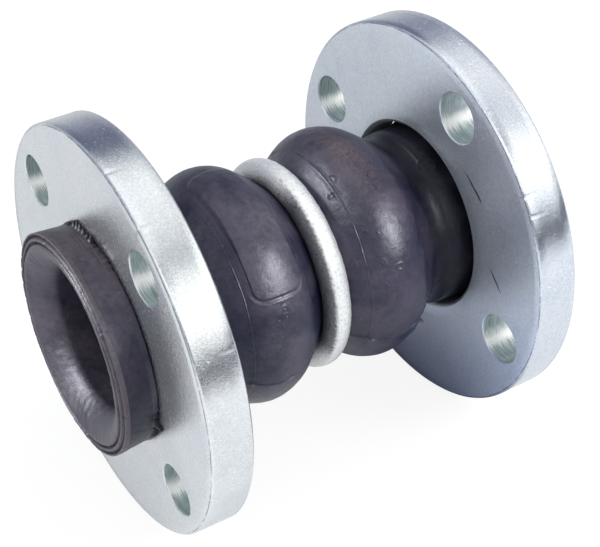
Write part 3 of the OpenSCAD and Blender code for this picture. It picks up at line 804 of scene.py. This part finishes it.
def face_relief(seed):
    def fn(U, R, T, nrm):
        facing = nrm[:, 0:1] * np.ones_like(U)
        show = (U > 84.8) | (R < 35)
        h = 0.045 * waves(R, T, seed, 12.0, radius=36) + 0.03 * waves(R, T, seed + 1, 3.0, radius=38, n=60)
        nick = np.clip(around(T, seed + 2, 30, 120), 1.1, 2.2) - 1.1
        h = h - 0.16 * nick * (R > 38.0) * (facing > -0.2)
        dent = bell(turn(T, 106.0) / 1.3, 1.0) * bell((R - 35.2) / 1.0, 1.0)
        h = (h - 0.35 * dent) * show
        return np.where(U > 86.0, np.clip(h, -1.0, (87.5 - U) / np.maximum(np.abs(facing), 0.35)), h)
    return fn


def face_dust_and_sheen(x, R, T):
    out = 0.18 + 0.15 * np.clip(waves(R, T, 63, 14.0), -0.6, 1.5)
    # lighter rings on the face's ridge tops: dust and painted highlight
    out = out + 0.58 * bell((R - 40.8) / 0.7, 1.0) + 0.46 * bell((R - 38.6) / 0.6, 1.0) + 0.40 * bell((R - 36.3) / 0.7, 1.0)
    out = out * (np.abs(x) > 70)
    return np.clip(out, 0, 1)


def face_brown(x, R, T):
    out = 0.75 * bell(turn(T, 82.0) / 34.0, 1.0) * (R > 37.5) + 0.35 * (R > 39.8) + 0.3 * bell(turn(T, 205.0) / 26.0, 1.0) * (R > 36)
    return np.clip(out * (x < -70), 0, 1)


def face_painted_shade(x, R, T):
    """Painted shade in the two grooves of the face and in the bore."""
    out = 0.95 * bell((R - 39.95) / 0.45, 1.0) + 0.92 * bell((R - 37.62) / 0.45, 1.0)
    out = out * (np.abs(x) > 84.5) + 0.15 * (1 - step(np.abs(x), 77.5, 82.0))
    return np.clip(out, 0, 1)


TUBE_MASKS = {"dust_and_sheen": face_dust_and_sheen, "brown": face_brown, "painted_shade": face_painted_shade}


def tube_long(name, sign, seed):
    visible = refine(FACE[1:], 0.22) + refine([FACE[-1]] + FLARE, 0.4)[1:]
    outer = visible + refine([(78.5, 26.0), (57.0, 26.0)], 1.0)[1:] + list(reversed(refine(edge(4, 24.1, 57.0), 0.8)))[1:]
    back = refine(edge(3, 24.1, 57.0), 1.5) + [(79.1, 28.6)] + hook(5.0, -90.0, 0.0, 10)[1:] + [(84.7, 33.6)]
    back = [(u, r) for u, r in back]
    seen = {(round(p[0], 5), round(p[1], 5)) for p in visible}
    rel = face_relief(seed)

    def fn(U, R, T, nrm):
        keep = np.array([(round(float(a), 5), round(float(b), 5)) in seen for a, b in zip(U[:, 0], R[:, 0])])
        return rel(U, R, T, nrm) * keep[:, None]
    return lathe(name, outer + back, sign, angles(540), TUBE, fn, TUBE_MASKS)


def tube_short(name, sign):
    loop = refine(edge(4, 0.0, 24.1), 0.8) + list(reversed(refine(edge(3, 0.0, 24.1), 1.5)))
    return lathe(name, loop, sign, angles(180), TUBE, None, TUBE_MASKS)


def ply(name, sign, k, inner, outer, long):
    """Ply between wall boundaries k and k + 1; in the cuff it turns up round the bead wire between two radii."""
    if long:
        loop = refine(edge(k, 24.1, 57.0), 1.5) + hook(inner) + [(75.0, BEAD[1] + inner), (75.0, BEAD[1] + outer)]
        loop += list(reversed(hook(outer))) + list(reversed(refine(edge(k + 1, 24.1, 57.0), 1.5)))
    else:
        loop = refine(edge(k, 0.0, 24.1), 1.5) + list(reversed(refine(edge(k + 1, 0.0, 24.1), 1.5)))
    return lathe(name, loop, sign, angles(144), PLY, None, None)


JOINS = {
    ("front", True): ("front_cuff", "front_arch", -58.0, -26.6, -1),
    ("front", False): ("front_arch", "waist", -21.6, -6.0, -1),
    ("rear", False): ("waist", "rear_arch", 6.0, 21.6, 1),
    ("rear", True): ("rear_arch", "rear_cuff", 26.6, 58.0, 1),
}
for (end, long), (a, b, x0, x1, sign) in JOINS.items():
    part = "outboard" if long else "inboard"
    seed = 80 + 3 * sign
    t = tube_long(f"{end}_tube_{part}", sign, seed) if long else tube_short(f"{end}_tube_{part}", sign)
    pi = ply(f"{end}_ply_inner_{part}", sign, 2, 3.9, 5.0, long)
    po = ply(f"{end}_ply_outer_{part}", sign, 1, 2.8, 3.9, long)
    for ob, kind, slot_name in ((t, "tube", "tube_rubber"), (pi, "ply_inner", "cord_ply"), (po, "ply_outer", "cord_ply")):
        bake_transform(ob, a, b, start=span(x0), end=span(x1))
        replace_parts(ob, f"{end}_cuff_{kind}", f"{end}_arch_{kind}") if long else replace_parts(ob, f"{end}_arch_{kind}", f"waist_{kind}")


# ---------------------------------------------------------------- bead wires: a wound cable of thin wires inside each cuff
def bead_wire(name, sign):
    rings, rc, rs = [], BEAD[1], 0.42
    verts, quads = [], []
    n, m = 240, 8
    spots = [(0.0, 0.0, 0.9, 0)] + [(1.27, i * 60.0, 0.62, 9) for i in range(6)] + [(2.2, i * 30.0, 0.54, -12) for i in range(12)]
    for dist, phase, radius, lay in spots:
        t = np.arange(n) * TAU / n
        a = math.radians(phase) + lay * t
        cx, crr = dist * np.cos(a), rc + dist * np.sin(a)
        b = np.arange(m) * TAU / m
        U = BEAD[0] + cx[:, None] + radius * np.cos(b)[None]
        R = crr[:, None] + radius * np.sin(b)[None]
        v = np.stack([sign * U, R * np.cos(t)[:, None], R * np.sin(t)[:, None]], -1).reshape(-1, 3)
        i, j = np.meshgrid(np.arange(n), np.arange(m), indexing="ij")
        q = np.stack([i * m + j, i * m + (j + 1) % m, ((i + 1) % n) * m + (j + 1) % m, ((i + 1) % n) * m + j], -1).reshape(-1, 4)
        if sign > 0:
            q = q[:, ::-1]
        quads.append(q + sum(len(x) for x in verts))
        verts.append(v)
    verts, quads = np.concatenate(verts), np.concatenate(quads)
    return make(name, verts, quads, WIRE, [("painted_dark_side_and_specks", np.zeros(len(verts)))], 40.0)


for end, sign in (("front", -1), ("rear", 1)):
    w = bead_wire(f"{end}_bead_cable", sign)
    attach(w, f"{end}_cuff")
    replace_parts(w, f"{end}_bead_wire")


# ---------------------------------------------------------------- root ring: bent round bar, galvanised, joined with a weld
def root_ring():
    n, m = (540, 48)
    t = np.arange(n) * TAU / n
    b = np.arange(m) * TAU / m
    T, B = np.meshgrid(t, b, indexing="ij")
    deg = np.degrees(T)
    lump = 0.030 * waves(5.1 * B, deg, 91, 14.0, radius=36) + 0.022 * waves(5.1 * np.cos(B) * 3, deg, 92, 3.4, radius=36, n=60)
    lump = lump + 0.018 * waves(5.1 * np.sin(B) * 3, deg, 93, 1.8, radius=36, n=70)
    weld = bell(turn(deg, 318.0) / 4.2, 1.0)
    lump = lump + weld * (0.22 + 0.12 * np.cos(np.radians(turn(deg, 318.0)) * 36 / 0.9 * TAU / 2))
    for pt, pb, deep in ((196.0, 60.0, 0.22), (205.0, 110.0, 0.2), (192.0, 95.0, 0.15), (70.0, 80.0, 0.2), (128.0, 85.0, 0.12)):
        d = np.hypot(np.radians(turn(deg, pt)) * 38, np.radians(turn(np.degrees(B), pb)) * 5.1)
        lump = lump - deep * bell(d, 0.7)
    rad = 5.08 + np.minimum(lump, 0.30)
    R = RING_R + rad * np.sin(B)
    X = rad * np.cos(B)
    verts = np.stack([X, R * np.cos(T), R * np.sin(T)], -1).reshape(-1, 3)
    i, j = np.meshgrid(np.arange(n), np.arange(m), indexing="ij")
    q = np.stack([i * m + j, ((i + 1) % n) * m + j, ((i + 1) % n) * m + (j + 1) % m, i * m + (j + 1) % m], -1).reshape(-1, 4)
    grain = waves(5.1 * np.cos(B) * 3, deg, 95, 1.5, radius=36, n=90)
    # painted dark reflection on the side of the bar facing the front arch (-X), strongest from 92 to 215 degrees round,
    # plus random dark specks
    side_on = step(deg, 92.0, 112.0) * (1 - step(deg, 196.0, 215.0))
    painted_dark_side_and_specks = 0.93 * (0.25 + 0.75 * side_on) * step(-np.cos(B) + 0.02 * grain, 0.38, 0.66) + 0.35 * np.clip(grain - 1.6, 0, 1)
    return make("root_ring_bar", verts, q, GALV, [("painted_dark_side_and_specks", painted_dark_side_and_specks.ravel())], 60.0)


ring = root_ring()
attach(ring, "waist")
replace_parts(ring, "root_ring")


# ---------------------------------------------------------------- floating flanges
def flange(name, sign, first, seed, place=None, nicks=()):
    """Turned flange with broken edges, four bolt holes with small countersinks, and nicks on the rim. sign -1 is the front."""
    inner, outer = 57.7, 73.6
    bore, rim, mouth = 36.8, 76.2, 39.6
    c = 0.8
    prof = [(inner, bore + 1.45), (inner + 0.10, bore + 1.22), (inner + 1.30, bore + 0.12), (inner + 1.55, bore)]
    prof += [(outer - 7.0 - 0.2, bore), (outer - 7.0 + 0.2, bore + 0.08)]
    prof += [(outer - 0.45, mouth - 0.2), (outer - 0.12, mouth + 0.02), (outer, mouth + 0.35)]
    face_rings = [(outer, r) for r in (43.0, 48.0, 54.0, 60.0, 66.0, 72.0)]
    prof += face_rings + [(outer, rim - c - 0.10), (outer - 0.07, rim - c + 0.05), (outer - 0.40, rim - 0.42), (outer - c + 0.05, rim - 0.07), (outer - c - 0.10, rim)]
    prof += [(outer - 4.0, rim), (outer - 8.0, rim), (inner + 4.0, rim)]
    prof += [(inner + c + 0.10, rim), (inner + c - 0.05, rim - 0.07), (inner + 0.40, rim - 0.42), (inner + 0.07, rim - c + 0.05), (inner, rim - c - 0.10)]
    prof += [(inner, r) for r in (72.0, 66.0, 60.0, 54.0, 48.0, 43.0)]

    def wear(U, R, T, nrm):
        h = np.zeros_like(U)
        corner = (R > rim - 1.2) & ((U < inner + 1.2) | (U > outer - 1.2))
        h = h - 0.012 * np.clip(waves(U, T, seed, 6.0, radius=76, n=60), 0, 2) * corner
        for pt, width, deep, which in nicks:
            edge_here = corner & ((U < 65) if which < 0 else (U > 65))
            depth_in = step(R, rim - 1.0, rim - 0.2)
            h = h - deep * bell(turn(T, pt) / width, 1.0) * edge_here * depth_in
        return np.minimum(h, 0.0)

    ob = lathe(name, prof, sign, angles(720), ZINC_FRONT if sign < 0 else ZINC_REAR, wear, None, sharp=28.0)
    cutters = []
    for k in range(4):
        a = math.radians(first + 90.0 * k)
        cy, cz = 60.325 * math.cos(a), 60.325 * math.sin(a)
        hole = [(inner - 2, 11.9), (inner - 0.02, 9.98), (inner + 0.42, 9.56), (inner + 0.75, 9.525), (outer - 0.75, 9.525), (outer - 0.42, 9.56), (outer + 0.02, 9.98), (outer + 2, 11.9)]
        n = 96
        t = np.arange(n) * TAU / n
        v = [(sign * u, cy + r * math.cos(q), cz + r * math.sin(q)) for u, r in hole for q in t]
        me = bpy.data.meshes.new("cut")
        fs = []
        for i in range(len(hole) - 1):
            for j in range(n):
                f = [i * n + j, i * n + (j + 1) % n, (i + 1) * n + (j + 1) % n, (i + 1) * n + j]
                fs.append(f if sign < 0 else f[::-1])
        first_cap, last_cap = list(range(n)), [(len(hole) - 1) * n + j for j in range(n)]
        fs.append(first_cap[::-1] if sign < 0 else first_cap)
        fs.append(last_cap if sign < 0 else last_cap[::-1])
        me.from_pydata([tuple(x * MM for x in p) for p in v], [], fs)
        bm = bmesh.new()
        bm.from_mesh(me)
        bmesh.ops.recalc_face_normals(bm, faces=bm.faces)
        bm.to_mesh(me)
        bm.free()
        me.update()
        cut = bpy.data.objects.new("cut", me)
        bpy.context.scene.collection.objects.link(cut)
        cutters.append(cut)
    for cut in cutters:
        mod = ob.modifiers.new("hole", "BOOLEAN")
        mod.operation = "DIFFERENCE"
        mod.solver = "EXACT"
        mod.object = cut
    dg = bpy.context.evaluated_depsgraph_get()
    done = bpy.data.meshes.new_from_object(ob.evaluated_get(dg))
    ob.modifiers.clear()
    old = ob.data
    ob.data = done
    bpy.data.meshes.remove(old)
    for cut in cutters:
        data = cut.data
        bpy.data.objects.remove(cut)
        bpy.data.meshes.remove(data)
    me = ob.data
    for key in [a.name for a in me.attributes if a.name in ("rest", "painted_dark_side_and_specks")]:
        me.attributes.remove(me.attributes[key])
    co = np.zeros(len(me.vertices) * 3, np.float32)
    me.vertices.foreach_get("co", co)
    rest = me.attributes.new("rest", "FLOAT_VECTOR", "POINT")
    rest.data.foreach_set("vector", co / MM)
    painted_dark_side_and_specks = me.attributes.new("painted_dark_side_and_specks", "FLOAT", "POINT")
    me.polygons.foreach_set("use_smooth", np.ones(len(me.polygons), bool))
    me.set_sharp_from_angle(angle=math.radians(28.0))
    if place is not None:
        me.transform(place)
    me.update()
    return ob


front = flange("front_flange_plate", -1, 36.9, 101, None, [(118.0, 0.5, 0.25, 1), (152.0, 0.4, 0.2, -1), (100.0, 0.35, 0.25, 1), (170.0, 0.6, 0.2, 1), (60.0, 0.4, 0.3, -1), (290.0, 0.5, 0.3, 1)])
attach(front, "front_flange")
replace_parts(front, "front_flange")
skew = Matrix.Translation((0.0652, 0, 0)) @ Matrix.Rotation(math.radians(1.0), 4, "Z") @ Matrix.Translation((-0.06565, 0, 0))
rear = flange("rear_flange_plate", 1, 22.2, 103, skew, [(144.0, 0.30, 0.30, -1), (149.5, 0.25, 0.22, -1), (120.0, 0.3, 0.18, -1), (240.0, 0.6, 0.3, 1), (40.0, 0.5, 0.3, 1)])
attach(rear, "rear_flange")
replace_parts(rear, "rear_flange")

# ---------------------------------------------------------------- floor, light and camera
floor_z = -0.0762


def floor():
    me = bpy.data.meshes.new("floor")
    s = 3.0
    n = 24
    xs = np.linspace(-s, s, n + 1)
    v = [(x, y, floor_z - 0.0002) for x in xs for y in xs]
    f = [(i * (n + 1) + j, (i + 1) * (n + 1) + j, (i + 1) * (n + 1) + j + 1, i * (n + 1) + j + 1) for i in range(n) for j in range(n)]
    me.from_pydata(v, [], f)
    m, nt, p = new_material("floor_paper")
    geo = nt.nodes.new("ShaderNodeNewGeometry")
    paper = noise(nt, geo.outputs["Position"], 40.0, 3.0, 0.6)
    seen = nt.nodes.new("ShaderNodeLightPath").outputs["Is Camera Ray"]
    tone = ramp(nt, paper, [(0.3, (0.58, 0.595, 0.61)), (0.7, (0.63, 0.645, 0.66))])
    at = node(nt, "ShaderNodeSeparateXYZ", i0=geo.outputs["Position"])
    ax = math_node(nt, "MULTIPLY_ADD", at.outputs[0], 1 / 0.050, -0.10, clamp=True)     # from 5 mm to 55 mm behind the centre
    ay = math_node(nt, "MULTIPLY_ADD", math_node(nt, "ABSOLUTE", at.outputs[1]), -1 / 0.045, 2.0, clamp=True)
    under = math_node(nt, "MULTIPLY", math_node(nt, "MULTIPLY", ax, ay), math_node(nt, "LESS_THAN", at.outputs[0], 0.075))
    before = math_node(nt, "MULTIPLY_ADD", at.outputs[0], -1 / 0.05, -1.0, clamp=True)  # in front of the front flange
    beyond = math_node(nt, "MULTIPLY_ADD", at.outputs[1], 1 / 0.12, -0.5, clamp=True)  # on the far side of the object
    # seen only in reflections: painted shade on the floor beyond the object and a painted shadow under it
    tone = mix_color(nt, beyond, tone, (0.46, 0.475, 0.49))
    tone = mix_color(nt, under, tone, (0.13, 0.14, 0.19))
    nt.links.new(mix_color(nt, seen, tone, (0.16, 0.16, 0.16)), p.inputs["Base Color"])
    p.inputs["Roughness"].default_value = 0.9
    p.inputs["Specular IOR Level"].default_value = 0.1
    p.inputs["Emission Color"].default_value = (1, 1, 1, 1)
    # emission seen only in reflections: painted light in the middle and in front of the front flange, dimmed in the
    # painted shadow under the object and beyond it
    mid = math_node(nt, "SUBTRACT", 1.0, math_node(nt, "ABSOLUTE", math_node(nt, "MULTIPLY_ADD", at.outputs[0], 1 / 0.036, 0.6)), clamp=True)
    mid = math_node(nt, "MULTIPLY", mid, math_node(nt, "MULTIPLY_ADD", math_node(nt, "ABSOLUTE", at.outputs[1]), -1 / 0.03, 2.4, clamp=True))
    glow = math_node(nt, "MULTIPLY_ADD", mid, 0.30, math_node(nt, "MULTIPLY_ADD", before, 0.14, math_node(nt, "MULTIPLY_ADD", under, -0.15, math_node(nt, "MULTIPLY_ADD", beyond, -0.08, 0.16))))
    unseen = math_node(nt, "MULTIPLY", math_node(nt, "SUBTRACT", 1.0, seen), glow)
    nt.links.new(math_node(nt, "MULTIPLY_ADD", seen, 0.86, unseen), p.inputs["Emission Strength"])
    me.materials.append(m)
    ob = bpy.data.objects.new("floor", me)
    bpy.context.scene.collection.objects.link(ob)
    return ob


floor()

world = bpy.data.worlds.new("studio")
bpy.context.scene.world = world
world.use_nodes = True
wt = world.node_tree
bg = wt.nodes["Background"]
tc = wt.nodes.new("ShaderNodeTexCoord")
sp = wt.nodes.new("ShaderNodeSeparateXYZ")
wt.links.new(tc.outputs["Generated"], sp.inputs[0])
elev = math_node(wt, "ARCSINE", sp.outputs[2])
elev = math_node(wt, "MULTIPLY_ADD", elev, 1 / math.pi, 0.5)  # 0 straight down, 0.5 horizon, 1 straight up
azim = math_node(wt, "ARCTAN2", sp.outputs[0], sp.outputs[1])
azim = math_node(wt, "MULTIPLY_ADD", azim, 1 / TAU, 0.5)


def el(deg):
    return (deg + 90.0) / 180.0


# brightness by height on the camera's side and on the far side of the room
near_side = ramp(wt, elev, [(0.0, (0.50, 0.51, 0.53)), (el(-11), (0.55, 0.56, 0.59)), (el(-6), (0.03, 0.034, 0.065)), (el(7), (0.03, 0.034, 0.065)), (el(11), (0.62, 0.63, 0.66)), (el(17), (1.15,) * 3),
                            (el(24), (1.6, 1.59, 1.54)), (el(47), (1.6, 1.59, 1.54)), (el(53), (0.66, 0.67, 0.69)), (el(61), (0.56, 0.58, 0.61)), (el(69), (1.1,) * 3), (1.0, (1.3,) * 3)])
far_side = ramp(wt, elev, [(0.0, (0.5, 0.51, 0.55)), (el(-8), (0.44, 0.46, 0.51)), (el(8), (0.38, 0.40, 0.48)), (el(17), (0.20, 0.22, 0.31)), (el(41), (0.15, 0.165, 0.25)), (el(47), (0.55, 0.56, 0.60)), (el(54), (0.95,) * 3),
                           (el(64), (1.35,) * 3), (1.0, (1.3,) * 3)])
far_right = ramp(wt, elev, [(0.0, (0.5, 0.51, 0.55)), (el(-8), (0.54, 0.56, 0.61)), (el(8), (0.46, 0.48, 0.55)), (el(24), (0.46, 0.48, 0.57)), (el(34), (0.58, 0.60, 0.66)), (el(44), (1.05,) * 3),
                            (el(64), (1.3,) * 3), (1.0, (1.3,) * 3)])
toward = ramp(wt, azim, [(0.0, (1, 1, 1)), (0.5 - 26 / 360, (1, 1, 1)), (0.5 - 10 / 360, (0, 0, 0)), (0.5 + 28 / 360, (0, 0, 0)), (0.5 + 38 / 360, (1, 1, 1)), (1.0, (1, 1, 1))])
far_side = mix_color(wt, toward, far_side, far_right)
side = math_node(wt, "MULTIPLY_ADD", sp.outputs[1], 1.6, 0.5, clamp=True)
lit = mix_color(wt, side, near_side, far_side)
tinted = mix_color(wt, 1.0, lit, (0.97, 0.985, 1.0, 1.0), "MULTIPLY")
lp = wt.nodes.new("ShaderNodeLightPath")
final = mix_color(wt, lp.outputs["Is Camera Ray"], tinted, (1.0, 1.0, 1.0, 1.0))
wt.links.new(final, bg.inputs["Color"])
bg.inputs["Strength"].default_value = 1.0


def softbox(name, location, target, size, power, color=(1, 1, 1)):
    light = bpy.data.lights.new(name, "AREA")
    light.shape = "RECTANGLE"
    light.size, light.size_y = size
    light.energy = power
    light.color = color
    ob = bpy.data.objects.new(name, light)
    bpy.context.scene.collection.objects.link(ob)
    ob.location = location
    ob.rotation_euler = (Vector(target) - Vector(location)).to_track_quat("-Z", "Y").to_euler()
    ob.visible_camera = False
    return ob


rubber_pieces = bpy.data.collections.new("rubber_pieces")
for ob in list(bpy.context.scene.collection.objects):
    if "cover" in ob.name or "tube" in ob.name:
        rubber_pieces.objects.link(ob)

key = softbox("key", (0.55, -0.80, 0.76), (0, 0, 0.01), (0.42, 0.42), 6.5, (1.0, 0.985, 0.96))
key.visible_glossy = False
sheen = softbox("sheen", (0.40, -0.94, 0.70), (0, 0, 0.01), (0.44, 0.44), 23.0, (1.0, 0.99, 0.98))
sheen.visible_diffuse = False
window = softbox("window", (-1.16, 0.34, 0.46), (0, 0, 0.02), (0.46, 0.46), 2.2, (0.96, 0.98, 1.0))
window.visible_glossy = False
glint = softbox("glint", (-1.03, 0.38, 0.58), (0, 0, 0.02), (0.80, 0.62), 38.0, (0.98, 0.99, 1.0))
glint.visible_diffuse = False
softbox("fill", (0.3, 0.15, 1.3), (0, 0, 0), (0.7, 0.7), 2.4, (0.93, 0.97, 1.0)).visible_glossy = False
for light in (sheen, glint):
    light.light_linking.receiver_collection = rubber_pieces

cam = bpy.data.cameras.new("camera")
cam.lens = 92.12
cam.sensor_width = 36.0
cam.sensor_fit = "HORIZONTAL"
cam.clip_start, cam.clip_end = 0.01, 20.0
cam_ob = bpy.data.objects.new("camera", cam)
bpy.context.scene.collection.objects.link(cam_ob)
forward = Vector((0.410685, 0.667846, -0.620750)).normalized()
right = Vector((0.849213, -0.528021, -0.006241)).normalized()
up = right.cross(forward)
rot = Matrix((right, up, -forward)).transposed().to_4x4()
cam_ob.matrix_world = Matrix.Translation((-0.22926, -0.38345, 0.34887)) @ rot
bpy.context.scene.camera = cam_ob

bpy.context.scene.view_settings.view_transform = "Standard"
bpy.context.scene.view_settings.look = "None"
bpy.context.scene.view_settings.exposure = 0.0
bpy.context.scene.view_settings.gamma = 1.0

bpy.context.view_layer.update()
